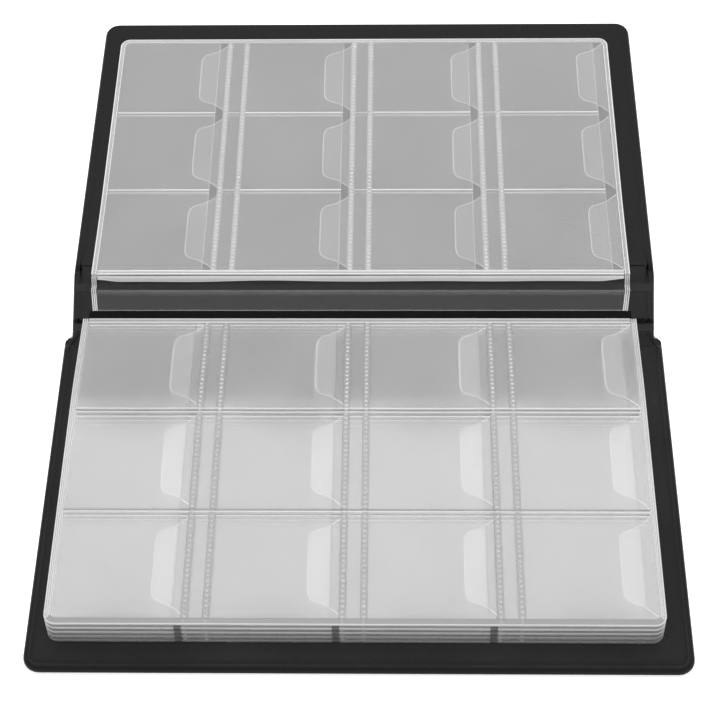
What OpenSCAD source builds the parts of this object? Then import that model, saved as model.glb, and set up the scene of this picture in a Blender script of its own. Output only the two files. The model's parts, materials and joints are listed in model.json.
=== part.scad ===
// Pocket coin album, lying open: a soft plastic cover in three panels and six clear pocket leaves.
// X runs along the spine, +Y points to the front cover's fore-edge, +Z is up.
// The origin is on the table, under the middle of the spine.

/* [Cover] */
// Height of the album, along the spine
cover_w = 175; // [165:1:200]
// Depth of one cover, from the hinge edge to the fore-edge
cover_d = 105; // [103:1:125]
// Distance between the hinge edges of the two covers, lying flat
hinge_gap = 24.3; // [23.5:0.1:27]
// Radius of the covers' fore-edge corners
corner_r = 4.5; // [4:0.5:10]
// Width of the welded seam around each board
seam_w = 2; // [1.5:0.1:3]
// How much narrower the spine is at the back hinge, on each side
spine_taper = 1.9; // [0.5:0.1:3]

/* [Cover layers] */
// Thickness of the outer skin
skin_t = 0.5; // [0.4:0.1:0.6]
// Thickness of the stiffening board
board_t = 1.6; // [1.2:0.1:1.8]
// Thickness of the inner lining
lining_t = 0.4; // [0.3:0.05:0.5]

/* [Leaves] */
// Width of one coin pocket, along the spine
pocket_w = 34.5; // [30:0.5:36]
// Height of one coin pocket, towards the fore-edge
pocket_h = 30.8; // [28:0.1:31.5]
// Distance between two neighbouring columns of pockets
column_gap = 6.5; // [5:0.5:7]
// Width of the weld between two rows of pockets
row_weld = 1.5; // [1:0.1:2]
// Width of the rim weld at both ends of a row
side_rim = 1.8; // [1:0.1:2]
// Width of the rim weld along the fore-edge and along the spine
edge_rim = 1.75; // [1.5:0.05:2.5]
// Thickness of one sheet of clear film
film_t = 0.25; // [0.2:0.01:0.27]
// Distance between two leaves in the stack
leaf_pitch = 1.75; // [1.7:0.05:1.9]
// How much further out each lower leaf lies than the one on it
leaf_fan = 0.35; // [0:0.05:0.5]
// How far the leaves sit off the middle of the spine
leaf_shift = -0.9; // [-2:0.1:2]
// Radius of the leaves' fore-edge corners
leaf_corner_r = 3; // [2:0.5:7]

/* [Flaps] */
// How far a flap reaches into its pocket
flap_reach = 9.1; // [7:0.1:12]
// Width of a flap at its free end
flap_tip_w = 19; // [15:0.5:24]
// Width of the open mouth between a window and the weld beside it
mouth_w = 3.1; // [2:0.1:4]
// Width of one line of dotted weld
dotted_w = 1; // [0.5:0.1:1.2]

/* [Hidden] */
$fn = 48;
leaf_count = 6;
columns = 4;
rows = 3;
fit_gap = 0.3;

panel_t = skin_t + board_t + lining_t;
web_t = skin_t + lining_t;
board_inset = seam_w + lining_t;
cover_y0 = hinge_gap / 2;
cover_y1 = cover_y0 + cover_d;

// The folds lie at half the panels' thickness, and this far to each side of the spine's middle
fold_z = panel_t / 2;
fold_y = 7.25;
fold_clear = 1.6;
spine_half = fold_y - fold_clear;

// Leaves: slot 0 rests on the back cover, and slot 5 is where leaf 1 lands when it is turned
leaf_t = 3 * film_t;
leaf_clear = 0.65;
slot_z0 = 3.55;
turn_z = slot_z0 + leaf_pitch * (leaf_count - 1) / 2;
leaf_y0 = fold_y + fold_z + leaf_clear;
leaf_depth = rows * pocket_h + (rows - 1) * row_weld + 2 * edge_rim;
leaf_y1 = leaf_y0 + leaf_depth;
leaf_w = columns * pocket_w + (columns - 1) * column_gap + 2 * side_rim;
leaf_x0 = leaf_shift - leaf_w / 2;
leaf_x1 = leaf_shift + leaf_w / 2;

// Binding: the fused roots of the leaves' margins, and the clear film along the spine
binding_y0 = leaf_y0 + 0.1;
binding_y1 = 13.4;
binding_t = 1.8;
binding_margin = 6;
film_y0 = -2.4;
film_y1 = spine_half - 0.5;

// Flaps: how much their roots leave free beside the row welds, and how far their tips are cut back
flap_free = 0.3;
flap_nose = 2.5;

black = [0.03, 0.03, 0.033];
lining_black = [0.045, 0.045, 0.05];
card = [0.55, 0.5, 0.43];
clear_film = [0.75, 0.77, 0.78, 0.4];
window_film = [0.82, 0.84, 0.85, 0.35];
weld_white = [0.92, 0.93, 0.94, 0.7];

// Half the width of the spine's outline at y: widest at the front cover, narrowest at the back fold
function spine_w(y) = cover_w / 2 - spine_taper * (cover_y0 - y) / (hinge_gap - spine_taper);

// The x where column c of the pockets starts, for c from 0
function pocket_x(c) = leaf_x0 + side_rim + c * (pocket_w + column_gap);

// The y where row r of the pockets starts, for r from 0 beside the spine, going outwards
function pocket_y(r) = -leaf_y0 - edge_rim - pocket_h - r * (pocket_h + row_weld);

// Height of the underside of leaf k in its slot on the back cover's side
function leaf_z(k) = slot_z0 + (leaf_count - k) * leaf_pitch - leaf_t / 2;

// A slab from height z to z + t
module slab(z, t) {
    translate([0, 0, z]) linear_extrude(t) children();
}

// A rectangle whose two corners at y0 are round
module panel_outline(x0, x1, y0, y1, r) {
    translate([x0, y0 + r]) square([x1 - x0, y1 - y0 - r]);
    translate([x0 + r, y0]) square([x1 - x0 - 2 * r, 2 * r]);
    for (x = [x0 + r, x1 - r]) translate([x, y0 + r]) circle(r);
}

// The board's outline, grown by g, on the back cover's side
module board_outline(g) {
    x = cover_w / 2 - board_inset + g;
    y0 = -cover_y1 + board_inset - g;
    panel_outline(-x, x, y0, -cover_y0 - seam_w - lining_t + g, corner_r - board_inset + g);
}

// The thin web from the back cover's hinge edge to its fold, flared where it meets the cover
module back_web_outline() {
    flare_y = -cover_y0 + spine_taper;
    fold_x = spine_w(-fold_y);
    flare_x = spine_w(flare_y);
    edge_x = cover_w / 2;
    y1 = -fold_y - fit_gap;
    polygon([[-edge_x, -cover_y0], [edge_x, -cover_y0], [flare_x, flare_y], [fold_x, y1],
        [-fold_x, y1], [-flare_x, flare_y]]);
}

// The thin web from the front cover's hinge edge to its fold
module front_web_outline() {
    y0 = fold_y + fit_gap;
    edge_x = cover_w / 2;
    fold_x = spine_w(y0);
    polygon([[-fold_x, y0], [fold_x, y0], [edge_x, cover_y0], [-edge_x, cover_y0]]);
}

// The spine's outline between y0 and y1
module spine_outline(y0, y1, inset) {
    x0 = spine_w(y0) - inset;
    x1 = spine_w(y1) - inset;
    polygon([[-x0, y0], [x0, y0], [x1, y1], [-x1, y1]]);
}

// The whole back cover's outline, or the front cover's when front is true
module cover_outline(front) {
    x = cover_w / 2;
    mirror([0, front ? 1 : 0]) panel_outline(-x, x, -cover_y1, -cover_y0, corner_r);
    if (front) front_web_outline();
    else back_web_outline();
}

// A cover's flat outer skin
module cover_skin(front) {
    color(black) slab(0, skin_t) cover_outline(front);
}

// A cover's board
module cover_board(front) {
    color(card) slab(skin_t, board_t) mirror([0, front ? 1 : 0]) board_outline(0);
}

// A cover's lining, raised over the board and welded to the skin around it
module cover_lining(front) {
    color(lining_black) difference() {
        union() {
            slab(skin_t, lining_t) cover_outline(front);
            slab(skin_t, board_t + lining_t) mirror([0, front ? 1 : 0]) board_outline(lining_t);
        }
        slab(0, skin_t + board_t) mirror([0, front ? 1 : 0]) board_outline(0);
    }
}

module back_cover_skin() { cover_skin(false); }
module back_cover_board() { cover_board(false); }
module back_cover_lining() { cover_lining(false); }
module front_cover_skin() { cover_skin(true); }
module front_cover_board() { cover_board(true); }
module front_cover_lining() { cover_lining(true); }

// The spine's outer skin, with a thin web on each side up to the folds
module spine_skin() {
    reach = fold_y - fit_gap;
    color(black) slab(0, skin_t) spine_outline(-reach, reach, 0);
}

// The narrow board that stiffens the spine
module spine_board() {
    half = spine_half - lining_t;
    color(card) slab(skin_t, board_t) spine_outline(-half, half, board_inset);
}

// The spine's lining, raised over its board
module spine_lining() {
    reach = fold_y - fit_gap;
    half = spine_half - lining_t;
    color(lining_black) difference() {
        union() {
            slab(skin_t, lining_t) spine_outline(-reach, reach, 0);
            slab(skin_t, board_t + lining_t) spine_outline(-spine_half, spine_half, seam_w);
        }
        slab(0, skin_t + board_t) spine_outline(-half, half, board_inset);
    }
}

// The strip where the leaves' margins are fused together and welded to the back cover's web
module binding_strip() {
    x0 = leaf_x0 + binding_margin;
    color(weld_white)
        slab(web_t, binding_t)
            translate([x0, -binding_y1])
                square([leaf_w - 2 * binding_margin, binding_y1 - binding_y0]);
}

// The clear film along the spine, where leaf 1's margin lies
module spine_film() {
    color(clear_film)
        slab(panel_t, film_t)
            translate([leaf_x0, film_y0])
                square([leaf_w, film_y1 - film_y0]);
}

// Puts a leaf that is drawn lying on the back cover at its rest place: leaf 1 is turned over
module place_leaf(k) {
    turn = k == 1 ? 180 : 0;
    fan = leaf_fan * max(k - 2, 0);
    translate([0, 0, turn_z]) rotate([turn, 0, 0]) translate([0, -fan, leaf_z(k) - turn_z]) children();
}

// A leaf's outline
module leaf_outline() {
    panel_outline(leaf_x0, leaf_x1, -leaf_y1, -leaf_y0, leaf_corner_r);
}

// The full sheet at the back of a leaf
module base_film(k) {
    color(clear_film) place_leaf(k) slab(0, film_t) leaf_outline();
}

// The welds of a leaf: rim, rows and dotted lines, with an opening for each pocket and column gap
module weld_grid(k) {
    color(weld_white) place_leaf(k) slab(film_t, film_t) difference() {
        leaf_outline();
        for (r = [0:rows - 1], c = [0:columns - 1])
            translate([pocket_x(c), pocket_y(r)]) square([pocket_w, pocket_h]);
        for (r = [0:rows - 1], c = [0:columns - 2])
            translate([pocket_x(c) + pocket_w + dotted_w, pocket_y(r)])
                square([column_gap - 2 * dotted_w, pocket_h]);
    }
}

// One flap's outline: its root is at the origin and its tip points to -X
module flap_outline() {
    root = pocket_h / 2 - flap_free;
    tip = flap_tip_w / 2;
    nose_x = flap_nose - flap_reach;
    nose_y = tip + flap_nose / 2;
    polygon([[0, -root], [0, root], [nose_x, nose_y], [-flap_reach, tip - flap_nose],
        [-flap_reach, flap_nose - tip], [nose_x, -nose_y]]);
}

// The flap of every pocket, tucked in behind its window
module flaps(k) {
    color(window_film) place_leaf(k) slab(film_t, film_t)
        for (r = [0:rows - 1], c = [0:columns - 1])
            translate([pocket_x(c) + pocket_w, pocket_y(r) + pocket_h / 2]) flap_outline();
}

// The window sheet of every column, open along its right-hand edge
module windows(k) {
    color(window_film) place_leaf(k) slab(2 * film_t, film_t)
        for (c = [0:columns - 1]) {
            x0 = c == 0 ? leaf_x0 : pocket_x(c) - column_gap;
            x1 = pocket_x(c) + pocket_w - mouth_w;
            intersection() {
                leaf_outline();
                translate([x0, -leaf_y1]) square([x1 - x0, leaf_depth]);
            }
        }
}

back_cover_skin();
back_cover_board();
back_cover_lining();
spine_skin();
spine_board();
spine_lining();
front_cover_skin();
front_cover_board();
front_cover_lining();
binding_strip();
spine_film();
for (k = [1:leaf_count]) {
    base_film(k);
    weld_grid(k);
    flaps(k);
    windows(k);
}
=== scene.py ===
import json
import math

import bpy
from mathutils import Matrix, Vector, noise


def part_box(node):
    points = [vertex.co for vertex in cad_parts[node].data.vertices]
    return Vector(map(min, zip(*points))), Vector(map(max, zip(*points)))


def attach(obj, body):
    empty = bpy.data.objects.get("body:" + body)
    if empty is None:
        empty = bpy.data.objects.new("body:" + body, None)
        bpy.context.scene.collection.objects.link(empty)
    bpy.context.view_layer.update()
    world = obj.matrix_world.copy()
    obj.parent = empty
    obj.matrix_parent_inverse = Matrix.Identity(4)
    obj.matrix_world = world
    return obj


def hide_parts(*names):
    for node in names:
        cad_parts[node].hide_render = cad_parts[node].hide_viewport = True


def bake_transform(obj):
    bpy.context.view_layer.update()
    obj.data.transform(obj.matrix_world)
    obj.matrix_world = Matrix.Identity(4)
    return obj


MM = 0.001

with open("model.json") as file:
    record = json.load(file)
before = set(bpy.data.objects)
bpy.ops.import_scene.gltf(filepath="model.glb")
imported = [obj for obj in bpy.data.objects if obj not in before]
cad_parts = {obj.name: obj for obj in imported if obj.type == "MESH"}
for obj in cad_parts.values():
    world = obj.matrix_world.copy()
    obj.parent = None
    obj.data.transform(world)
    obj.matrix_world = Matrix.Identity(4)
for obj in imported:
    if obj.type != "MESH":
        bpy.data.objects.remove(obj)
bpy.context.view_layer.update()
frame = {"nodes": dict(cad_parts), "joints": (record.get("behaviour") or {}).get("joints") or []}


# ---------------------------------------------------------------- measures of the frame, in mm

def extent(node):
    """Lowest and highest corner of a CAD node, in mm."""
    low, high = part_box(node)
    return low / MM, high / MM


JOINT = {j["name"]: [v / MM for v in j["pos_m"]] for j in frame["joints"]}
TURN_Z = JOINT["leaf_2_turn"][2]
FOLD_Y = JOINT["front_cover_fold"][1]

cover_low, cover_high = extent("back_cover_skin")
lining_high = extent("back_cover_lining")[1]
board_low, board_high = extent("back_cover_board")
spine_board_high = extent("spine_board")[1]
strip_low, strip_high = extent("binding_strip")
spine_film_low, spine_film_high = extent("spine_film")
leaf_low, leaf_high = extent("leaf_2_base_film")
layer_t = leaf_high.z - leaf_low.z

# The covers: outline, half a fold's width, the heights of what lies in them, and the far side of the spine
# gutter's painted shade
COVER_X = cover_high.x
COVER_OUT = -cover_low.y
HINGE_Y = 12.15
SPINE_TAPER = 1.9
CORNER_R = 4.5
TIGHT_R = 0.25
FOLD_HALF = 0.95
WEB_Z = 0.9
SKIN_Z = board_low.z
BOARD_Z = board_high.z
TOP_Z = lining_high.z
BOARD_INSET = board_low.x + COVER_X
GUTTER_SHADE_Y0 = -5.3

# The leaves: outline, layout of the pockets, and the sizes of the films and welds
LAST_LEAF = 6
LEAVES = range(1, LAST_LEAF + 1)
X0, X1 = leaf_low.x, leaf_high.x
Y_IN, Y_OUT = leaf_high.y, leaf_low.y
LEAF_R = 3.0
COLUMNS, ROWS = 4, 3
POCKET_W, POCKET_H = 34.5, 30.8
COLUMN_GAP, ROW_WELD = 6.5, 1.5
SIDE_RIM, EDGE_RIM = 1.8, 1.75
MOUTH = 3.1
FLAP_REACH = 9.1
FILM_T = 0.12
DOTTED_W = 1.9
BEAD_PITCH = 1.5
BEAD_SIDES = 8

# A leaf's middle above the underside of its base film, in thicknesses of that film
MIDDLE = 1.5

# Longest steps of the welds' paths, across a leaf and round its rim, and along its depth
ACROSS, ALONG = 3.0, 2.5


def slot_z(k):
    """Height of a leaf's middle before it is turned. Leaf 1 is drawn unturned, then laid over the spine."""
    low, high = extent("leaf_%d_base_film" % k)
    if k == 1:
        return 2 * TURN_Z - high.z + MIDDLE * layer_t
    return low.z + MIDDLE * layer_t


def pocket_x(c):
    """The low side of column c."""
    return X0 + SIDE_RIM + c * (POCKET_W + COLUMN_GAP)


def pocket_y(r):
    """The low side of row r; row 0 is nearest the spine."""
    return Y_IN - EDGE_RIM - POCKET_H - r * (POCKET_H + ROW_WELD)


def clamp(v, low=0.0, high=1.0):
    return max(low, min(high, v))


def smooth(t):
    t = clamp(t)
    return t * t * (3 - 2 * t)


def lerp(a, b, t):
    return a + (b - a) * t


def spaced(a, b, step):
    """From a to b in equal steps, none longer than step."""
    n = max(1, math.ceil(abs(b - a) / step))
    return [lerp(a, b, i / n) for i in range(n + 1)]


def merged(*lists):
    """One sorted list without near-repeats."""
    nearest = 0.05
    out = []
    for v in sorted(v for values in lists for v in values):
        if not out or v - out[-1] > nearest:
            out.append(v)
    return out


# ---------------------------------------------------------------- mesh helpers

class Shape:
    """Gathers closed solids, in mm, into one mesh."""

    def __init__(self):
        self.verts, self.faces, self.slots = [], [], []

    def add(self, verts, faces, slot=0):
        base = len(self.verts)
        self.verts += [tuple(v) for v in verts]
        self.faces += [tuple(base + i for i in f) for f in faces]
        self.slots += [slot] * len(faces)

    def loft(self, loops, slot=0):
        """Closed loops of the same length joined one after another, and the two ends closed."""
        n = len(loops[0])
        verts = [v for loop in loops for v in loop]
        faces = []
        for a in range(len(loops) - 1):
            for i in range(n):
                j = (i + 1) % n
                faces.append((a * n + i, a * n + j, (a + 1) * n + j, (a + 1) * n + i))
        faces.append(tuple(reversed(range(n))))
        faces.append(tuple(range((len(loops) - 1) * n, len(loops) * n)))
        self.add(verts, faces, slot)

    def film(self, xs, ys, place, mid, thickness, slot=0):
        """A thin closed film over a grid: place moves (x, y) in plan, mid gives the height of its middle."""
        n, m = len(xs), len(ys)
        verts, faces = [], []
        for side in (0.5, -0.5):
            for y in ys:
                for x in xs:
                    px, py = place(x, y)
                    verts.append((px, py, mid(px, py) + side * thickness))
        low = n * m
        for j in range(m - 1):
            for i in range(n - 1):
                a, b, c, d = j * n + i, j * n + i + 1, (j + 1) * n + i + 1, (j + 1) * n + i
                faces.append((a, b, c, d))
                faces.append((low + a, low + d, low + c, low + b))
        edge = list(range(n)) + [j * n + n - 1 for j in range(1, m)]
        edge += [(m - 1) * n + i for i in range(n - 2, -1, -1)] + [j * n for j in range(m - 2, 0, -1)]
        for a, b in zip(edge, edge[1:] + edge[:1]):
            faces.append((b, a, low + a, low + b))
        self.add(verts, faces, slot)

    def ridge(self, path, width, up, down, mid, slot=0, crown=0.4):
        """A weld line along a path in plan, up and down from the film's middle. Crown is its flat share."""
        loops = []
        c = crown / 2
        for i, p in enumerate(path):
            before, after = path[max(i - 1, 0)], path[min(i + 1, len(path) - 1)]
            tx, ty = after[0] - before[0], after[1] - before[1]
            length = math.hypot(tx, ty) or 1.0
            sx, sy = ty / length, -tx / length
            z = mid(p[0], p[1])
            loops.append([
                (p[0] + sx * o * width, p[1] + sy * o * width, z + h)
                for o, h in ((0.5, 0), (c, up), (-c, up), (-0.5, 0), (-c, -down), (c, -down))
            ])
        self.loft([loop[::-1] for loop in loops], slot)


def mesh_of(name, shape, materials):
    """The mesh of a shape, in metres."""
    mesh = bpy.data.meshes.new(name)
    mesh.from_pydata([Vector(v) * MM for v in shape.verts], [], shape.faces)
    for m in materials:
        mesh.materials.append(m)
    return mesh


def build(name, shape, materials, slot, replaced=()):
    """A smooth piece; the CAD nodes that it replaces are hidden. Its slot only says whether it casts a
    shadow: clear films cast none.
    """
    sharp = 35.0
    mesh = mesh_of(name, shape, materials)
    mesh.polygons.foreach_set("material_index", shape.slots)
    mesh.polygons.foreach_set("use_smooth", [True] * len(mesh.polygons))
    mesh.update()
    mesh.set_sharp_from_angle(angle=math.radians(sharp))
    obj = bpy.data.objects.new(name, mesh)
    bpy.context.scene.collection.objects.link(obj)
    obj.visible_shadow = slot in ("cover_skin", "cover_lining")
    if replaced:
        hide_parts(*replaced)
    return obj


# ---------------------------------------------------------------- materials

def nodes_of(name):
    """A new material with its node tree, its shader and the coordinates that its patterns follow."""
    mat = bpy.data.materials.new(name)
    mat.use_nodes = True
    tree = mat.node_tree
    tree.nodes.clear()
    out = tree.nodes.new("ShaderNodeOutputMaterial")
    shader = tree.nodes.new("ShaderNodeBsdfPrincipled")
    tree.links.new(shader.outputs["BSDF"], out.inputs["Surface"])
    coords = tree.nodes.new("ShaderNodeTexCoord")
    return mat, tree, shader, coords.outputs["Object"]


def noise_node(tree, coords, scale, detail=3.0, rough=0.5):
    node = tree.nodes.new("ShaderNodeTexNoise")
    node.inputs["Scale"].default_value = scale
    node.inputs["Detail"].default_value = detail
    node.inputs["Roughness"].default_value = rough
    tree.links.new(coords, node.inputs["Vector"])
    return node.outputs["Fac"]


def spread(tree, value, low, high):
    """A noise value mapped to low to high."""
    noise_low, noise_high = 0.3, 0.7
    node = tree.nodes.new("ShaderNodeMapRange")
    node.inputs["From Min"].default_value = noise_low
    node.inputs["From Max"].default_value = noise_high
    node.inputs["To Min"].default_value = low
    node.inputs["To Max"].default_value = high
    tree.links.new(value, node.inputs["Value"])
    return node.outputs["Result"]


def two_tone(tree, value, a, b):
    node = tree.nodes.new("ShaderNodeMix")
    node.data_type = "RGBA"
    node.inputs["A"].default_value = (*a, 1)
    node.inputs["B"].default_value = (*b, 1)
    tree.links.new(value, node.inputs["Factor"])
    return node.outputs["Result"]


def bump(tree, shader, height, distance, strength=1.0):
    node = tree.nodes.new("ShaderNodeBump")
    node.inputs["Distance"].default_value = distance
    node.inputs["Strength"].default_value = strength
    tree.links.new(height, node.inputs["Height"])
    tree.links.new(node.outputs["Normal"], shader.inputs["Normal"])


def film_material(name, shade, alpha, rough, specular=0.5):
    """Clear soft film: a thin grey haze with slow unevenness in its haze and gloss."""
    mat, tree, shader, coords = nodes_of(name)
    slow = noise_node(tree, coords, scale=45.0, detail=4.0)
    streaks = noise_node(tree, coords, scale=70.0, detail=1.0)
    low, high = shade * 0.95, shade * 1.05
    tone = two_tone(tree, spread(tree, slow, 0, 1), (low, low, low), (high, high, high * 1.005))
    tree.links.new(tone, shader.inputs["Base Color"])
    tree.links.new(spread(tree, slow, rough * 0.85, rough * 1.15), shader.inputs["Roughness"])
    bump(tree, shader, streaks, distance=0.00002, strength=0.4)
    shader.inputs["Alpha"].default_value = alpha
    shader.inputs["IOR"].default_value = 1.5
    shader.inputs["Specular IOR Level"].default_value = specular
    return mat


def leather_material(name, tone, rough, grain, depth, specular):
    """Black soft plastic with a fine leather grain: rounded cells, worn a little smoother in patches."""
    mat, tree, shader, coords = nodes_of(name)
    cells = tree.nodes.new("ShaderNodeTexVoronoi")
    cells.feature = "SMOOTH_F1"
    cells.inputs["Scale"].default_value = grain
    cells.inputs["Smoothness"].default_value = 0.6
    tree.links.new(coords, cells.inputs["Vector"])
    creases = noise_node(tree, coords, scale=grain * 0.35, detail=5.0, rough=0.65)
    mix = tree.nodes.new("ShaderNodeMath")
    mix.operation = "ADD"
    tree.links.new(cells.outputs["Distance"], mix.inputs[0])
    tree.links.new(creases, mix.inputs[1])
    patches = noise_node(tree, coords, scale=38.0, detail=4.0)
    dark = tuple(v * 0.8 for v in tone)
    light = tuple(v * 1.25 for v in tone)
    tree.links.new(two_tone(tree, spread(tree, creases, 0, 1), dark, light), shader.inputs["Base Color"])
    tree.links.new(spread(tree, patches, rough - 0.05, rough + 0.06), shader.inputs["Roughness"])
    bump(tree, shader, mix.outputs[0], depth, strength=0.6)
    shader.inputs["Specular IOR Level"].default_value = specular
    return mat


def card_material():
    """Grey board with fine fibres."""
    mat, tree, shader, coords = nodes_of("grey_card")
    fibres = noise_node(tree, coords, scale=700.0, detail=5.0, rough=0.7)
    dark, light = (0.26, 0.245, 0.22), (0.4, 0.38, 0.35)
    tree.links.new(two_tone(tree, fibres, dark, light), shader.inputs["Base Color"])
    tree.links.new(spread(tree, fibres, 0.8, 0.95), shader.inputs["Roughness"])
    bump(tree, shader, fibres, distance=0.00005)
    return mat


# Leather: tone, roughness, the grain's scale and its depth in metres, specular level
SKIN = leather_material("black_grained_skin", (0.0075, 0.0075, 0.008), 0.5, 1900.0, 0.00006, 0.17)
LINING = leather_material("black_lining", (0.0071, 0.0071, 0.0075), 0.5, 2600.0, 0.00003, 0.125)
# A darker, duller sheet in the spine's gutter: painted shade
GUTTER_SHADE = leather_material("gutter_painted_shade_film", (0.0042, 0.0042, 0.0044), 0.7, 2600.0, 0.00003, 0.05)
CARD = card_material()

# Films: shade, alpha, roughness, specular level
BASE = film_material("pocket_back_film", 0.405, 0.2, 0.15)
WINDOW = film_material("pocket_window_film", 0.405, 0.12, 0.15)
FLAP = film_material("flap_film", 0.48, 0.08, 0.25)
# Lighter copies of the flap film and its edge for leaves 2 to 6, lightest away from the spine: painted light
LOW_LIT_FLAP = film_material("flap_film_in_stack_painted_lit", 0.85, 0.1, 0.25)
MID_LIT_FLAP = film_material("flap_film_near_spine_painted_lit", 0.72, 0.09, 0.25)
MID_LIT_FLAP_EDGE = film_material("flap_edge_near_spine_painted_lit", 0.85, 0.27, 0.3)
FLAP_ROOT = film_material("flap_root_film", 0.405, 0.14, 0.2)
MARGIN = film_material("margin_film", 0.2, 0.06, 0.3)
# Where the margin drops steeply its film is nearly clear, so it reads dark: painted shade
DROP_FILM = film_material("steep_margin_film_painted_shade", 0.2, 0.02, 0.2)
# The bent lip is lighter than the other films: painted highlight of the light it catches
LIP = film_material("bent_margin_film_painted_highlight", 0.68, 0.5, 0.3)
BAND = film_material("fused_band", 0.5, 0.22, 0.3)
INNER_BAND = film_material("fused_inner_band", 0.6, 0.4, 0.3)
WELD = film_material("pressed_weld", 0.37, 0.46, 0.5)
BEAD = film_material("weld_bead", 0.5, 0.5, 0.1, 0.8)
LIT_BEAD = film_material("weld_bead_facing_light", 0.75, 0.44, 0.1, 0.8)
# The rims, fine lines and flap edges are lighter than the films: partly the fused film's own whiteness,
# partly painted highlight
RIM = film_material("rim_weld", 0.72, 0.6, 0.35)
# Dark line beside a weld's bright line: painted shadow of the weld's step
STEP_SHADOW = film_material("weld_step_shadow", 0.1, 0.45, 0.5)
LINE = film_material("fused_line", 0.58, 0.34, 0.3)
# A lighter, denser copy of the fine line for leaves 3 to 6: painted highlight
DEEP_LIT_LINE = film_material("fused_line_deep_in_stack_painted_lit", 1.0, 0.9, 0.3)
# The same painted shadow of the weld's step, darker for leaves 3 to 6
DEEP_STEP_SHADOW = film_material("weld_step_shadow_deep_in_stack", 0.02, 0.9, 0.5)
# A lighter, denser copy of the inner band for leaves 3 to 6: painted highlight
DEEP_LIT_BAND = film_material("fused_inner_band_deep_in_stack_painted_lit", 0.8, 0.7, 0.3)
# A lighter copy of the fine line for leaf 2: painted highlight
LOW_LIT_LINE = film_material("fused_line_in_stack_painted_lit", 0.85, 0.5, 0.3)
FLAP_EDGE = film_material("flap_edge", 0.6, 0.3, 0.3)
# A lighter copy of the flap edge for leaves 2 to 6 away from the spine: painted light
LOW_LIT_FLAP_EDGE = film_material("flap_edge_in_stack_painted_lit", 0.85, 0.2, 0.3)
# The fused fore-edge band of each lower leaf, darker down the stack: painted shade
SHADED_FORE_BAND = {k: film_material("fused_fore_edge_%d" % k, shade, 0.75, 0.4, 0.5 if k == 2 else 0.15)
             for k, shade in {2: 0.24, 3: 0.2, 4: 0.11, 5: 0.06, 6: 0.035}.items()}
# The outer rim line of leaves 3 to 6, darker down the stack: painted shade
SHADED_RIM_LINE = {k: film_material("rim_line_%d" % k, shade, 0.75, 0.35, 0.3)
             for k, shade in {3: 0.52, 4: 0.42, 5: 0.26, 6: 0.15}.items()}
# A dark patch where a pocket's mouth meets the fore-edge: painted shade
GAP_SHADE = film_material("mouth_painted_shade_at_fore_edge", 0.04, 0.6, 0.5, 0.1)

# Slots of the films on a leaf's flaps, and on its welds
TIP, TIP_EDGE, ROOT, LIT_TIP, LIT_TIP_EDGE = range(5)
PRESSED, EDGE, FUSED, FINE, SHADOW_LINE, DOT, FORE, INNER, BRIGHT, LIT_DOT, SHADE = range(11)


# ---------------------------------------------------------------- covers

# Steps along the sides, ends and corners of a panel's outline
SIDE_STEPS, END_STEPS, ARC_STEPS = 60, 30, 6

# The outline's narrowing starts this far from the middle, and is full after this run
TAPER_X, TAPER_RUN = 60, 20

# Where the rim dips to the web between the spine's board and a cover's panel, and how steeply
DIP_START = spine_board_high.y - 0.15
DIP_RUN_IN, DIP_RUN_OUT = 0.55, 0.95
DIP_DEPTH = 0.9
WALL_Y = 14.15
WALL_BACK = 0.25

# Rings of a cover, each its distance in from the edge and its height; a panel's rings also say how far
# their hinge side stands back, so that the panel's wall slopes
SKIN_RINGS = [
    (3.3, 0.0), (2.9, 0.03), (2.5, 0.2), (2.1, 0.26), (1.3, 0.2), (0.7, 0.22), (0.3, 0.36), (0.08, 0.62),
    (0.0, 0.9)]
SKIN_TOP_RINGS = [(0.25, 0.92), (2.38, 0.9)]
SKIN_BOARD_RING = (2.42, SKIN_Z)
LINING_BOARD_RING = (2.38, BOARD_Z)
LINING_UNDER_RINGS = [(2.36, 0.92), (0.3, 0.94)]
RIM_RINGS = [
    (0.0, 0.92), (0.02, 1.15), (0.12, 1.5), (0.36, 1.92), (0.75, 2.24), (1.15, 2.36), (1.45, 2.37),
    (1.66, 2.35)]
PANEL_RINGS = [
    (1.84, 2.34, 0.0), (1.98, 2.35, 0.9), (2.1, 2.37, 1.0), (2.3, 2.4, 1.15), (2.6, 2.44, 1.35),
    (3.1, 2.48, 1.65), (3.8, 2.5, 2.0)]
PANEL_INSET = 1.9
PANEL_CORNER_R = 0.6
WEB_END = FOLD_Y + FOLD_HALF


def half_width(y):
    """Half the outline's width at y: narrower over the spine, with a notch at the back cover's hinge."""
    if abs(y) >= HINGE_Y:
        return COVER_X
    taper = COVER_X - SPINE_TAPER * (HINGE_Y - y) / (2 * HINGE_Y - SPINE_TAPER)
    return max(taper, COVER_X - (y + HINGE_Y)) if y < 0 else taper


def side_steps(both):
    """Fractions along a side, close together at its web end, or at both ends."""
    count = range(SIDE_STEPS + 1)
    if both:
        return [0.5 - 0.5 * math.cos(math.pi * i / SIDE_STEPS) for i in count]
    return [1 - math.cos(0.5 * math.pi * i / SIDE_STEPS) for i in count]


def corner(x, y, r, quarter, web):
    """The points between the two ends of a rounded corner about (x, y)."""
    points = []
    for i in range(1, ARC_STEPS):
        a = 0.5 * math.pi * quarter + 0.5 * math.pi * i / ARC_STEPS
        points.append((x + r * math.cos(a), y + r * math.sin(a), web))
    return points


def dip(y):
    """How far the rim has come down to the web at y, as a share."""
    down = smooth((abs(y) - DIP_START) / DIP_RUN_IN)
    up = smooth((abs(y) - WALL_Y + WALL_BACK) / DIP_RUN_OUT)
    return DIP_DEPTH * (down * (1 - up))


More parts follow.
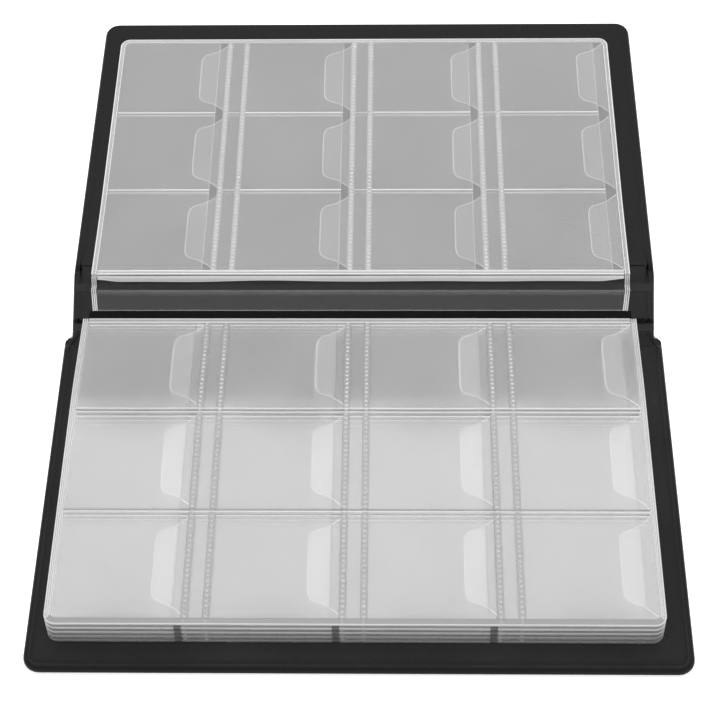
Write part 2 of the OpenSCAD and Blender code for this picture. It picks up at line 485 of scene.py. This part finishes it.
def ring(inset, y_low, y_high, r_low, r_high, z_rim, z_web, web_low, web_high):
    """One loop round a panel, inset from its sides, at z_rim, or at z_web along a side that is a web.

    Where the ring is part of a lining, its sides dip towards the web at the hinges.
    """
    steps = side_steps(web_low and web_high)
    if web_low and not web_high:
        steps = [1 - s for s in reversed(steps)]
    x = COVER_X - inset
    r_low, r_high = max(r_low, TIGHT_R), max(r_high, TIGHT_R)
    across = [i / END_STEPS for i in range(END_STEPS + 1)]
    loop = [(-x, lerp(y_high - r_high, y_low + r_low, s), 0) for s in steps]
    loop += corner(-x + r_low, y_low + r_low, r_low, 2, web_low)
    loop += [(lerp(-x + r_low, x - r_low, s), y_low, web_low) for s in across]
    loop += corner(x - r_low, y_low + r_low, r_low, 3, web_low)
    loop += [(x, lerp(y_high - r_high, y_low + r_low, s), 0) for s in reversed(steps)]
    loop += corner(x - r_high, y_high - r_high, r_high, 0, web_high)
    loop += [(lerp(x - r_high, -x + r_high, s), y_high, web_high) for s in across]
    loop += corner(-x + r_high, y_high - r_high, r_high, 1, web_high)
    out = []
    for px, py, web in loop:
        z = z_rim
        if z_rim > z_web >= WEB_Z:
            z = lerp(z_rim, z_web, dip(py))
        if web:
            z = z_web
        if abs(px) > TAPER_X:
            drawn_in = (COVER_X - half_width(py)) * smooth((abs(px) - TAPER_X) / TAPER_RUN)
            px = math.copysign(abs(px) - drawn_in, px)
        out.append((px, py, z))
    return out


def cover_rings(spec, y_web, z_web, sign):
    """Rings whose web side stays at y_web; sign is -1 for the back cover, 1 for the front cover."""
    loops = []
    for inset, z in spec:
        r = max(CORNER_R - inset, PANEL_CORNER_R)
        if sign < 0:
            loops.append(ring(inset, -COVER_OUT + inset, -y_web, r, TIGHT_R, z, z_web, False, True))
        else:
            loops.append(ring(inset, y_web, COVER_OUT - inset, TIGHT_R, r, z, z_web, True, False))
    return loops


def spine_rings(spec, half, z_web):
    """Rings round the spine, whose two web sides are at half from its middle."""
    return [ring(inset, -half, half, TIGHT_R, TIGHT_R, z, z_web, True, True) for inset, z in spec]


def build_cover(name, sign):
    """A back or front cover: the skin round its board, and the lining with its raised panel."""
    board_side = BOARD_INSET + HINGE_Y
    skin = Shape()
    outer = cover_rings(SKIN_RINGS, WEB_END, 0.0, sign)
    upper = cover_rings(SKIN_TOP_RINGS, WEB_END, SKIN_Z, sign)
    inner = cover_rings([SKIN_BOARD_RING], board_side, SKIN_Z, sign)
    skin.loft(outer + upper + inner)
    skin_piece = build(name + "_grained_skin", skin, [SKIN], "cover_skin", [name + "_skin"])
    lining = Shape()
    under = cover_rings([LINING_BOARD_RING], board_side, BOARD_Z, sign)
    under += cover_rings(LINING_UNDER_RINGS, WEB_END, SKIN_Z, sign)
    rim = cover_rings(RIM_RINGS, WEB_END, WEB_Z, sign)
    panel = []
    for inset, z, back in PANEL_RINGS:
        z_web = z if inset > PANEL_INSET else WEB_Z
        panel += cover_rings([(inset, z)], WALL_Y - WALL_BACK + back, z_web, sign)
    lining.loft(under + rim + panel)
    lining_piece = build(name + "_grained_lining", lining, [LINING], "cover_lining", [name + "_lining"])
    for piece in (skin_piece, lining_piece):
        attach(piece, name)


def build_spine():
    """The spine, made like a cover but with a web at both sides."""
    half = FOLD_Y - FOLD_HALF
    beside_board = 0.4
    slope = 0.6
    panel_r = 0.3
    skin = Shape()
    upper = spine_rings(SKIN_TOP_RINGS + [SKIN_BOARD_RING], half, SKIN_Z)
    skin.loft(spine_rings(SKIN_RINGS, half, 0.0) + upper)
    wall = spine_board_high.y + beside_board
    loops = spine_rings([LINING_BOARD_RING], wall - beside_board, BOARD_Z)
    loops += spine_rings(LINING_UNDER_RINGS, half, SKIN_Z)
    loops += spine_rings(RIM_RINGS, half, WEB_Z)
    for inset, z, back in PANEL_RINGS:
        y = wall - back * slope
        z_web = z if inset > PANEL_INSET else WEB_Z
        loops.append(ring(inset, -y, y, panel_r, panel_r, z, z_web, True, True))
    lining = Shape()
    lining.loft(loops)
    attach(build("spine_grained_skin", skin, [SKIN], "cover_skin", ["spine_skin"]), "spine")
    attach(build("spine_grained_lining", lining, [LINING], "cover_lining", ["spine_lining"]), "spine")


def build_fold(name, sign):
    """The bare web where a cover meets the spine."""
    reach, step = 1.5, 0.25
    under, over = 0.03, WEB_Z + 0.04
    rim_height, rim_start, rim_run = 0.12, 0.985, 0.015
    ys = sorted(spaced(sign * (FOLD_Y - reach), sign * (FOLD_Y + reach), step))
    xs = [i / 12 - 1 for i in range(25)]
    heights = [over + rim_height * smooth((abs(x) - rim_start) / rim_run) for x in xs]
    loops = []
    for y in ys:
        edge = half_width(y) - 0.02
        top = [(x * edge, y, z) for x, z in zip(xs, heights)]
        loops.append([(x * edge, y, under) for x in xs] + top[::-1])
    shape = Shape()
    shape.loft(loops)
    piece = build(name, shape, [SKIN], "cover_skin")
    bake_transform(piece)


# ---------------------------------------------------------------- leaves

# How far each leaf's inner edge lies below its flat place. The fall starts in row 0, this far from the row's
# low side at the welds, this much less in the middle of a pocket, and this softly.
DROP = {1: 1.4, 2: 2.6, 3: 2.0, 4: 1.4, 5: 0.8, 6: 0.2}
KNEE_IN, KNEE_ARCH, KNEE_SOFT = 6.0, 5.0, 0.2

# A leaf's slight waves: their lengths, their heights at the edges and inside, and how far the edges reach
WAVE_X, WAVE_Y = 31, 27
EDGE_WAVE, INNER_WAVE = 0.012, 0.05
EDGE_RUN = 8

# A leaf's two films lie this far from its middle, and all films swell this much in a pocket's middle
FILM_OFFSET = 0.2
BACK_SWELL, WINDOW_SWELL, FLAP_SWELL = 0.12, 0.3, 0.06

# Half the height of a flap at its tip, what its root adds, and the depth of its rounded nose
TIP_HALF, ROOT_FLARE, NOSE_DEPTH = 10.4, 4.8, 3.2
NOSE_START = 0.75
FLAP_T = 0.1

# Heights of welds above a leaf's middle, each a little over what it crosses
FUSED_UP, FRAME_UP, DOTTED_UP = 0.27, 0.275, 0.28
LINE_UP, RIM_UP, MARK_UP, SHADE_UP = 0.3, 0.33, 0.345, 0.35

# The lower side of the windows' lips at the pockets' mouths, above a leaf's middle
LIP_LOW = 0.13


def column_at(x):
    """The column of pockets at x; the gap after a column counts with it."""
    return int(clamp((x - X0) // (POCKET_W + COLUMN_GAP), 0, COLUMNS - 1))


def column_arch(x):
    """0 at the welded sides of a column of pockets, 1 in its middle."""
    u = (x - pocket_x(column_at(x))) / POCKET_W
    return math.sin(math.pi * clamp(u)) if 0 < u < 1 else 0.0


def lie(k, x, y):
    """How far leaf k's middle lies off its flat place: it runs down to the spine, and waves very slightly."""
    knee = pocket_y(0) + KNEE_IN - KNEE_ARCH * column_arch(x)
    t = (y - knee) / (Y_IN - knee)
    fall = (t + math.hypot(t, KNEE_SOFT)) / (1 + math.hypot(1, KNEE_SOFT))
    inner = smooth(min(x - X0, X1 - x, y - Y_OUT) / EDGE_RUN)
    wave = noise.noise(Vector((x / WAVE_X, y / WAVE_Y, 3.7 * k)))
    return -DROP[k] * fall + lerp(EDGE_WAVE, INNER_WAVE, inner) * wave


def pillow(x, y):
    """0 at the welds, 1 in the middle of a pocket."""
    u = 2 * (x - pocket_x(column_at(x))) / POCKET_W - 1
    r = int(clamp((Y_IN - EDGE_RIM - y) // (POCKET_H + ROW_WELD), 0, ROWS - 1))
    v = 2 * (y - pocket_y(r)) / POCKET_H - 1
    if abs(u) >= 1 or abs(v) >= 1:
        return 0.0
    return (1 - u * u) * (1 - v * v) ** 0.8


def leaf_place(x, y):
    """Rounds a leaf's two fore-edge corners in plan by drawing in its outermost strip."""
    e = y - Y_OUT
    if e >= LEAF_R:
        return x, y
    reach = math.sqrt(max(LEAF_R ** 2 - (LEAF_R - e) ** 2, 0))
    mid = (X0 + X1) / 2
    flat = (X1 - X0) / 2 - LEAF_R
    over = abs(x - mid) - flat
    if over <= 0:
        return x, y
    return mid + math.copysign(flat + over * reach / LEAF_R, x - mid), y


def leaf_rows():
    """The rows of a film's grid: across the rounded corners, at the welds and through the pockets."""
    row_step, corner_steps = 2.2, 6
    turns = [0.5 * math.pi * i / corner_steps for i in range(corner_steps + 1)]
    rows = [[Y_OUT + LEAF_R * (1 - math.cos(a)) for a in turns], [Y_IN, Y_IN - EDGE_RIM]]
    for r in range(ROWS):
        rows.append(spaced(pocket_y(r), pocket_y(r) + POCKET_H, row_step))
    rows.append(spaced(Y_OUT + LEAF_R, pocket_y(ROWS - 1) + POCKET_H, row_step))
    return merged(*rows)


def leaf_columns(low, high):
    """The columns of a film's grid between low and high, closer together at the leaf's rounded corners."""
    column_step, corner_steps = 2.4, 4
    cols = [[low, high]]
    for c in range(COLUMNS):
        through = spaced(pocket_x(c), pocket_x(c) + POCKET_W, column_step)
        cols.append([v for v in through if low < v < high])
    for i in range(corner_steps):
        for edge, sign in ((X0, 1), (X1, -1)):
            v = edge + sign * LEAF_R * i / corner_steps
            if low < v < high:
                cols.append([v])
    return merged(*cols)


def laid(shape, k):
    """Leaf 1 is turned over the spine; the others are drawn as leaf 2 and lie a little further out."""
    if k == 1:
        shape.verts = [(x, -y, 2 * TURN_Z - z) for x, y, z in shape.verts]
    else:
        fan = leaf_high.y - extent("leaf_%d_base_film" % k)[1].y
        shape.verts = [(x, y - fan, z) for x, y, z in shape.verts]
    return shape


def leaf_back(k, z0):
    """The full sheet at the back of the pockets."""
    def mid(x, y):
        return z0 - FILM_OFFSET + lie(k, x, y) - BACK_SWELL * pillow(x, y)

    shape = Shape()
    shape.film(leaf_columns(X0, X1), leaf_rows(), leaf_place, mid, FILM_T)
    return shape


def leaf_windows(k, z0):
    """The sheets over the pockets, one for each column, which stop short of the pockets' mouths."""
    def mid(x, y):
        return z0 + FILM_OFFSET + lie(k, x, y) + WINDOW_SWELL * pillow(x, y)

    shape = Shape()
    for c in range(COLUMNS):
        low = X0 if c == 0 else pocket_x(c) - COLUMN_GAP
        high = pocket_x(c) + POCKET_W - MOUTH
        shape.film(leaf_columns(low, high), leaf_rows(), leaf_place, mid, FILM_T)
    return shape


def flap_half(u):
    """Half the flap's height at u of its reach: an ogee from its full root to its rounded tip."""
    body = TIP_HALF + ROOT_FLARE * (1 - u) ** 2.2
    nose = clamp((u - NOSE_START) / (1 - NOSE_START))
    return body - NOSE_DEPTH * (1 - math.sqrt(max(1 - nose * nose, 0)))


def leaf_flaps(k, z0):
    """The flaps that tuck in behind the windows, each with its bare root in the pocket's mouth."""
    shape = Shape()
    hem = 0.2
    edge_width, edge_height = 0.42, 0.09
    bend = (MOUTH + hem) / FLAP_REACH
    root_steps = [i / 5 * bend for i in range(6)]
    tip_steps = spaced(bend, NOSE_START, 0.06) + [0.82, 0.88, 0.93, 0.965, 0.985, 1.0]
    steps = root_steps + tip_steps[1:]
    rows = [i / 8 - 1 for i in range(17)]
    for c in range(COLUMNS):
        for r in range(ROWS):
            root_x = pocket_x(c) + POCKET_W + hem
            mid_y = pocket_y(r) + POCKET_H / 2
            lift = 0.03 * noise.noise(Vector((c * 3.1, r * 2.3, k * 1.7)))
            reach = FLAP_REACH + 0.5 * noise.noise(Vector((c * 5.3, r * 1.9, k * 2.9)))

            def place(u, v):
                return root_x - u * reach, mid_y + v * flap_half(u)

            def mid(x, y):
                return z0 + lie(k, x, y) + lift + FLAP_SWELL * pillow(x, y)

            # Flaps of leaves 2 to 6 away from the spine take the lightest copies: painted light
            lit = k > 1 and r > 0
            for part, slot in ((tip_steps, LIT_TIP if lit else TIP), (root_steps, ROOT)):
                shape.film([-u for u in reversed(part)], rows, lambda u, v: place(-u, v), mid, FLAP_T, slot)
            edge = [place(u, 1) for u in steps] + [place(1, v) for v in reversed(rows[1:-1])]
            edge += [place(u, -1) for u in reversed(steps)]
            shape.ridge(edge, edge_width, edge_height, edge_height, mid, LIT_TIP_EDGE if lit else TIP_EDGE)
    return shape


def rim_path(inset):
    """Round a leaf's two sides and fore-edge, inset from its edge."""
    end, corner_steps = 0.2, 6
    r = LEAF_R - inset
    left, right, out = X0 + inset, X1 - inset, Y_OUT + inset
    turns = [0.5 * math.pi * i / corner_steps for i in range(1, corner_steps + 1)]
    path = [(left, y) for y in spaced(Y_IN - end, out + r, ACROSS)]
    path += [(left + r + r * math.cos(math.pi + a), out + r + r * math.sin(math.pi + a)) for a in turns]
    path += [(x, out) for x in spaced(left + r, right - r, ACROSS)][1:]
    for a in turns:
        turned = 1.5 * math.pi + a
        path.append((right - r + r * math.cos(turned), out + r + r * math.sin(turned)))
    path += [(right, y) for y in spaced(out + r, Y_IN - end, ACROSS)][1:]
    return path


def fore_edge_path(inset):
    """The part of rim_path along the fore-edge, with the outer half of both corners."""
    return [p for p in rim_path(inset) if p[1] < Y_OUT + LEAF_R * 0.4 + inset]


def weld_lines():
    """Where the dotted welds run: one at each end of the gap between two columns."""
    after_column, before_next = 0.2, 0.75
    lines = []
    for c in range(1, COLUMNS):
        lines += [pocket_x(c) - COLUMN_GAP + after_column, pocket_x(c) - before_next]
    return lines


def bead(shape, x, y, radius, low, high, slot):
    """A low round bead pressed into a dotted weld."""
    loops = []
    turn = 1 if high > low else -1
    angles = [turn * math.tau * i / BEAD_SIDES for i in range(BEAD_SIDES)]
    for r, z in ((radius, low), (radius * 0.8, lerp(low, high, 0.75)), (radius * 0.35, high)):
        loops.append([(x + r * math.cos(a), y + r * math.sin(a), z) for a in angles])
    shape.loft(loops, slot)


def row_weld(shape, mid, c, r, whole):
    """The weld below row r in column c: a fused band with fine lines. Whole welds run across the columns."""
    gap = COLUMN_GAP if c else 0
    low = X0 + SIDE_RIM if c == 0 else pocket_x(c)
    high = pocket_x(c) + POCKET_W - MOUTH
    if whole:
        low, high = pocket_x(c) - gap, pocket_x(c) + POCKET_W
    top = pocket_y(r)
    across = spaced(low, high, ACROSS)
    band = [(x, top - ROW_WELD / 2) for x in across]
    shape.ridge(band, ROW_WELD, FUSED_UP, FUSED_UP, mid, FUSED, 0.9)
    # The darkest of these fine lines is painted shadow of the weld's step
    lines = ((0.15, 0.45, FINE), (0.75, 0.3, SHADOW_LINE), (1.4, 0.5, BRIGHT))
    if whole and r > 0:
        lines = ((0.15, 0.3, SHADOW_LINE), (0.8, 0.3, FINE), (1.4, 0.4, FUSED))
    for depth, width, slot in lines:
        shape.ridge([(x, top - depth) for x in across], width, LINE_UP, LINE_UP, mid, slot, 0.6)
    if c and not whole:
        for depth, slot in ((0.15, FINE), (1.4, BRIGHT)):
            joint = [(x, top - depth) for x in (pocket_x(c) - gap + 1.0, pocket_x(c) - 1.5)]
            shape.ridge(joint, 0.3, DOTTED_UP, DOTTED_UP, mid, slot)


def rim_welds(shape, mid, k):
    """The fused frame round a leaf's sides and fore-edge, with the fine lines along it."""
    shape.ridge(rim_path(0.8), 1.6, FRAME_UP, FRAME_UP, mid, FUSED, 0.9)
    shape.ridge(rim_path(0.18), 0.38, RIM_UP, RIM_UP, mid, EDGE, 0.7)
    if k == 1:
        shape.ridge(rim_path(1.35), 0.3, RIM_UP, RIM_UP, mid, EDGE)
        return
    # This band is darker on each leaf further down the stack: painted shade
    shape.ridge(fore_edge_path(0.95), 1.9, LINE_UP, LINE_UP, mid, FORE, 0.95)
    for side in (-1, 1):
        for inset in (1.35, 0.75):
            straight = [p for p in rim_path(inset) if p[1] > Y_OUT + 2.5]
            line = [p for p in straight if side * (p[0] - (X0 + X1) / 2) > 0]
            shape.ridge(line, 0.3, RIM_UP, RIM_UP, mid, BRIGHT)


def inner_welds(shape, mid):
    """The fused band along a leaf's inner edge, with the fine lines along it."""
    across = spaced(X0 + SIDE_RIM, X1 - SIDE_RIM, ACROSS)
    # The darkest of these fine lines is painted shadow of the weld's step
    lines = ((0.9, 1.7, INNER), (0.25, 0.3, BRIGHT), (0.8, 0.2, SHADOW_LINE), (EDGE_RIM - 0.2, 0.3, BRIGHT))
    for depth, width, slot in lines:
        up = FUSED_UP if slot == INNER else LINE_UP
        shape.ridge([(x, Y_IN - depth) for x in across], width, up, up, mid, slot, 0.8)


def dotted_weld(shape, mid, k, x):
    """A pressed strip between two rails, with a row of beads. Leaf 2's beads near the spine are lit."""
    low, high = Y_OUT + EDGE_RIM, Y_IN - EDGE_RIM
    rail, rail_w, end = 0.42, 0.22, 0.4
    lit_low, lit_high = pocket_y(0) - 2, pocket_y(0) + 0.7 * POCKET_H
    along = spaced(low, high, ALONG)
    if k > 1:
        shape.ridge([(x, Y_OUT + d) for d in (0.2, 1.6)], 1.5, MARK_UP, MARK_UP, mid, FUSED, 0.5)
    shape.ridge([(x, y) for y in along], DOTTED_W, DOTTED_UP, DOTTED_UP, mid, PRESSED, 0.75)
    for side in (-rail, rail):
        shape.ridge([(x + side * DOTTED_W, y) for y in along], rail_w, LINE_UP, LINE_UP, mid, FUSED)
    up = 1 if k > 1 else -1
    for y in spaced(low + end, high - end, BEAD_PITCH):
        uneven = noise.noise(Vector((x * 2.3, y * 1.9, k * 5.7)))
        z = mid(x, y)
        foot, head = z + up * FUSED_UP, z + up * (0.46 + 0.1 * uneven)
        lit = k == 2 and lit_low < y < lit_high
        radius = (0.37 if lit else 0.48) + 0.14 * uneven
        bead(shape, x + 0.2 * uneven, y, radius, foot, head, LIT_DOT if lit else DOT)


def leaf_welds(k, z0):
    """All the welds of a leaf, the lips of its pockets' mouths, and on leaves 3 to 6 painted shade where the
    mouths meet the fore-edge.
    """
    shape = Shape()

    def mid(x, y):
        return z0 + lie(k, x, y)

    rim_welds(shape, mid, k)
    inner_welds(shape, mid)
    along = spaced(Y_OUT + EDGE_RIM, Y_IN - EDGE_RIM, ALONG)
    for c in range(COLUMNS):
        for r in range(ROWS - 1):
            row_weld(shape, mid, c, r, k > 1)
        mouth = pocket_x(c) + POCKET_W - MOUTH - 0.1
        lip = [(mouth, y) for y in along]
        shape.ridge(lip, 0.25, FUSED_UP, -LIP_LOW, mid, FUSED if k > 1 else FINE)
        # Painted shade where the mouth meets the fore-edge
        if k > 2 and c < COLUMNS - 1:
            mouth_shade = [(x, Y_OUT + 0.85) for x in (mouth + 0.7, mouth + 2.6)]
            shape.ridge(mouth_shade, 1.9, SHADE_UP, SHADE_UP, mid, SHADE, 0.9)
    for x in weld_lines():
        dotted_weld(shape, mid, k, x)
    return shape


def build_leaf(k):
    """The four pieces of a leaf, which ride on its body."""
    body = "leaf_%d" % k
    z0 = slot_z(k)
    flap_films = [FLAP, FLAP_EDGE, FLAP_ROOT, LOW_LIT_FLAP, LOW_LIT_FLAP_EDGE]
    # Flaps of leaves 2 to 6 near the spine take lighter copies too: painted light
    if k > 1:
        flap_films[:2] = [MID_LIT_FLAP, MID_LIT_FLAP_EDGE]
    # Lower leaves take lighter copies of the lines: painted highlight; and a darker step line: painted shadow
    line, bright_line, painted_shadow, inner = LINE if k == 1 else LOW_LIT_LINE, RIM, STEP_SHADOW, INNER_BAND
    if k > 2:
        line, bright_line, painted_shadow, inner = DEEP_LIT_LINE, DEEP_LIT_LINE, DEEP_STEP_SHADOW, DEEP_LIT_BAND
    # Rim and fore-edge films darker down the stack: painted shade
    weld_films = [WELD, SHADED_RIM_LINE.get(k, RIM), BAND, line, painted_shadow, BEAD, SHADED_FORE_BAND.get(k, BAND), inner]
    weld_films += [bright_line, LIT_BEAD, GAP_SHADE]
    parts = (
        ("pocket_backs", leaf_back, [BASE], "base_film", "base_film"),
        ("pocket_windows", leaf_windows, [WINDOW], "window", "windows"),
        ("coin_flaps", leaf_flaps, flap_films, "flap", "flaps"),
        ("weld_lines", leaf_welds, weld_films, "weld", "weld_grid"),
    )
    made = []
    for name, maker, materials, slot, node in parts:
        shape = laid(maker(k, z0), k)
        piece = build("%s_%s" % (body, name), shape, materials, slot, ["%s_%s" % (body, node)])
        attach(piece, body)
        made.append(piece)
    return made


def build_margin(k):
    """The bare film from a leaf's inner edge down to where it is bound."""
    body = "leaf_%d" % k
    z0 = slot_z(k)
    z_edge = z0 + lie(k, 0, Y_IN)
    half_film = 0.05
    bow = 0.3
    if k == 1:
        foot, out = 2 * TURN_Z - TOP_Z - 0.15, 0.2
    else:
        foot, out = strip_high.z - 0.3 + 0.03 * (LAST_LEAF - k), 0.5
    loops = []
    for x in spaced(strip_low.x, strip_high.x, 4.0):
        lean = 0.12 * noise.noise(Vector((x / 19, k * 5.1, 0.4)))
        near, far = [], []
        for s in spaced(0, 1, 0.1):
            z = lerp(z_edge, foot, s)
            y = Y_IN - half_film - out * s + (bow + lean) * math.sin(math.pi * s)
            near.append((x, y - half_film, z))
            far.append((x, y + half_film, z))
        loops.append(near + far[::-1])
    shape = Shape()
    shape.loft(loops if k > 1 else [loop[::-1] for loop in loops])
    piece = build("%s_margin" % body, laid(shape, k), [MARGIN], "base_film")
    if k == 1:
        parent, sign = "front_cover", 1
    else:
        parent, sign = "back_cover", -1
    y = -sign * Y_IN
    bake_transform(piece)
    return piece


def side_lines(low, high):
    """Where the fine lines run along the two sides of the first leaf's margin."""
    return low + 0.2, low + 0.8, low + 1.35, high - 1.35, high - 0.8, high - 0.2


def build_spine_film():
    """The first leaf's long margin, lying on the spine, with its two welded sides."""
    low, high = spine_film_low, spine_film_high
    middle = (low.x + high.x) / 2
    narrowing = 0.016
    haze, line, band = range(3)
    shape = Shape()

    def mid(x, y):
        return TOP_Z + 0.14 + 0.05 * noise.noise(Vector((x / 14, y / 5, 8.3)))

    def place(x, y):
        t = (high.y - y) / (high.y - low.y)
        return middle + (x - middle) * (1 - narrowing * t), y

    columns = spaced(low.x, high.x, ACROSS)
    shape.film(columns, spaced(low.y, high.y, 0.7), place, mid, 0.1, haze)
    for layer, reach in ((1, 1.9), (2, 1.2), (3, 0.6)):
        rows = spaced(high.y - reach, high.y, 0.3)
        shape.film(columns, rows, place, lambda x, y: mid(x, y) + 0.07 * layer, 0.05, haze)
    shape.ridge([place(x, low.y + 0.15) for x in columns], 0.3, 0.12, 0.05, mid, band)
    rows = spaced(low.y, high.y, 1.0)
    for x in (low.x + 0.8, high.x - 0.8):
        shape.ridge([place(x, y) for y in rows], 1.5, 0.08, 0.04, mid, band)
    for x in side_lines(low.x, high.x):
        shape.ridge([place(x, y) for y in rows], 0.28, 0.1, 0.04, mid, line)
    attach(build("spine_margin_film", shape, [MARGIN, RIM, BAND], "base_film", ["spine_film"]), "spine")


def build_gutter_shade():
    """A dark sheet on the spine's lining, between the spine film and the leaves' margins: painted shade in
    the gutter.
    """
    shape = Shape()
    xs = spaced(X0 + 0.4, X1 - 0.4, 6.0)
    ys = spaced(GUTTER_SHADE_Y0, spine_film_low.y - 0.1, 0.6)
    shape.film(xs, ys, lambda x, y: (x, y), lambda x, y: TOP_Z + 0.03, 0.06)
    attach(build("spine_gutter_painted_shade", shape, [GUTTER_SHADE], "cover_lining"), "spine")


def build_notch_films():
    """Small slivers of clear flash in the back cover's notches."""
    shape = Shape()
    edge = half_width(-FOLD_Y)
    outline = [
        (edge - 0.3, -8.6), (edge + 0.12, -9.4), (edge + 0.55, -10.2), (COVER_X - 0.25, -11.4),
        (edge - 0.3, -11.2)]
    for side in (-1, 1):
        loops = [[(side * x, y, z) for x, y in outline] for z in (WEB_Z + 0.05, WEB_Z + 0.25)]
        shape.loft([loop[::side] for loop in loops])
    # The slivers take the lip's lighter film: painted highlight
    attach(build("hinge_notch_flash", shape, [LIP], "base_film"), "back_cover")


# How the margin runs down from the front cover to the spine: places across the fold, and heights
CROSSING = [
    (4.9, 2.66), (5.7, 2.66), (6.3, 2.45), (6.8, 2.45), (7.2, 2.75), (7.6, 3.3), (8.0, 3.85), (8.4, 4.15),
    (8.9, 4.3), (9.4, 4.25), (9.9, 4.0)]


def crossing_z(y):
    """Height of the margin between the spine and the first leaf."""
    for (a, za), (b, zb) in zip(CROSSING, CROSSING[1:]):
        if y <= b:
            return lerp(za, zb, clamp((y - a) / (b - a)))
    return CROSSING[-1][1]


def build_crossing():
    """The first leaf's margin where it drops from the front cover to the spine, with a bent lip."""
    low, high = X0, X1
    steep, bent, line, band = range(4)
    shape = Shape()

    def mid(x, y):
        return crossing_z(y) + 0.08 * noise.noise(Vector((x / 17, y / 4, 2.2)))

    def lip(x, t):
        wave = noise.noise(Vector((x / 26, 4.4, 3.3)))
        end = smooth(min(x - low, high - x) / 9)
        return x, lerp(9.25, 8.45 - 0.6 * end + 0.45 * wave, t)

    rows = spaced(CROSSING[0][0], CROSSING[-1][0], 0.35)
    # The drop takes the nearly clear film: painted shade
    shape.film(spaced(low, high, ACROSS), rows, lambda x, y: (x, y), mid, 0.08, steep)
    for x in side_lines(low, high):
        shape.ridge([(x, y) for y in rows], 0.28, 0.1, 0.06, mid, line)
    for x in (low + 0.8, high - 0.8):
        shape.ridge([(x, y) for y in rows], 1.5, 0.08, 0.05, mid, band)
    columns = spaced(low + SIDE_RIM, high - SIDE_RIM, 2.0)
    shares = spaced(-1, 0, 0.25)
    # The lip takes the lighter lip film: painted highlight
    shape.film(columns, shares, lambda x, t: lip(x, -t), lambda x, y: mid(x, y) + 0.12, 0.08, bent)
    shape.ridge([lip(x, 1) for x in columns], 0.25, 0.16, 0.0, mid, line)
    piece = build("first_leaf_crossing_film", shape, [DROP_FILM, LIP, RIM, BAND], "base_film")
    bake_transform(piece)


# ---------------------------------------------------------------- studio and camera

def softbox(name, target, azimuth, elevation, distance, width, height, power):
    """A soft rectangular light that faces its target."""
    data = bpy.data.lights.new(name, "AREA")
    data.shape = "RECTANGLE"
    data.size, data.size_y = width, height
    data.energy = power
    lamp = bpy.data.objects.new(name, data)
    bpy.context.scene.collection.objects.link(lamp)
    a, e = math.radians(azimuth), math.radians(elevation)
    toward = Vector((math.sin(a) * math.cos(e), math.cos(a) * math.cos(e), math.sin(e)))
    lamp.location = Vector(target) + toward * distance
    lamp.rotation_euler = toward.to_track_quat("Z", "Y").to_euler()
    return lamp


def set_studio(first_leaf):
    """A white surround, a softbox over the album, and one behind it that lights only the first leaf."""
    scene = bpy.context.scene
    world = bpy.data.worlds.new("studio")
    world.use_nodes = True
    world.node_tree.nodes["Background"].inputs["Color"].default_value = (1, 1, 1, 1)
    world.node_tree.nodes["Background"].inputs["Strength"].default_value = 0.9
    scene.world = world
    scene.view_settings.view_transform = "Standard"
    scene.cycles.transparent_max_bounces = 64
    softbox("overhead_softbox", (0, -0.075, 0.01), azimuth=0, elevation=61.5, distance=0.9,
            width=0.72, height=0.27, power=4.1)
    behind = softbox("rear_softbox", (0, 0.058, 0.004), azimuth=0, elevation=49.3, distance=0.9,
                     width=0.62, height=0.34, power=2.8)
    only = bpy.data.collections.new("first_leaf_only")
    for piece in first_leaf:
        only.objects.link(piece)
    behind.light_linking.receiver_collection = only


def set_floor():
    """A pale plane that shines a little, as a light table does."""
    reach, below = 4000, 0.05
    corners = ((-reach, -reach), (reach, -reach), (reach, reach), (-reach, reach))
    shape = Shape()
    shape.add([(x, y, -below) for x, y in corners], [(0, 1, 2, 3)])
    mat, tree, shader, coords = nodes_of("pale_floor")
    soft = noise_node(tree, coords, scale=3.0)
    tree.links.new(two_tone(tree, soft, (0.9, 0.9, 0.9), (0.92, 0.92, 0.92)), shader.inputs["Base Color"])
    shader.inputs["Roughness"].default_value = 0.9
    shader.inputs["Specular IOR Level"].default_value = 0.1
    shader.inputs["Emission Color"].default_value = (1, 1, 1, 1)
    shader.inputs["Emission Strength"].default_value = 0.5
    floor = bpy.data.objects.new("floor", mesh_of("floor", shape, [mat]))
    bpy.context.scene.collection.objects.link(floor)


def set_camera():
    """The photograph's view: from in front of the back cover, looking down over the album."""
    pitch, yaw, roll = math.radians(55.769), math.radians(2.1495), math.radians(-1.7503)
    stand = Vector((9.90, -297.50, 410.71))
    turn = Matrix.Rotation(yaw, 3, "Z")
    ahead = turn @ Vector((0, math.cos(pitch), -math.sin(pitch)))
    level_up = turn @ Vector((0, math.sin(pitch), math.cos(pitch)))
    level_right = turn @ Vector((1, 0, 0))
    right = math.cos(roll) * level_right + math.sin(roll) * level_up
    up = math.cos(roll) * level_up - math.sin(roll) * level_right
    data = bpy.data.cameras.new("camera")
    data.lens = 85
    data.sensor_width = 36
    data.clip_start = 0.01
    camera = bpy.data.objects.new("camera", data)
    bpy.context.scene.collection.objects.link(camera)
    place = Matrix((right, up, -ahead)).transposed().to_4x4()
    place.translation = stand * MM
    camera.matrix_world = place
    bpy.context.scene.camera = camera


# ---------------------------------------------------------------- the album

set_camera()
set_floor()
for part in ("back_cover_board", "spine_board", "front_cover_board", "binding_strip"):
    node = frame["nodes"][part]
    node.data.materials.clear()
    node.data.materials.append(MARGIN if part == "binding_strip" else CARD)
build_cover("back_cover", -1)
build_cover("front_cover", 1)
build_spine()
build_fold("back_fold_web", -1)
build_fold("front_fold_web", 1)
leaves = [build_leaf(k) + [build_margin(k)] for k in LEAVES]
build_spine_film()
build_gutter_shade()
build_notch_films()
build_crossing()
set_studio(leaves[0])
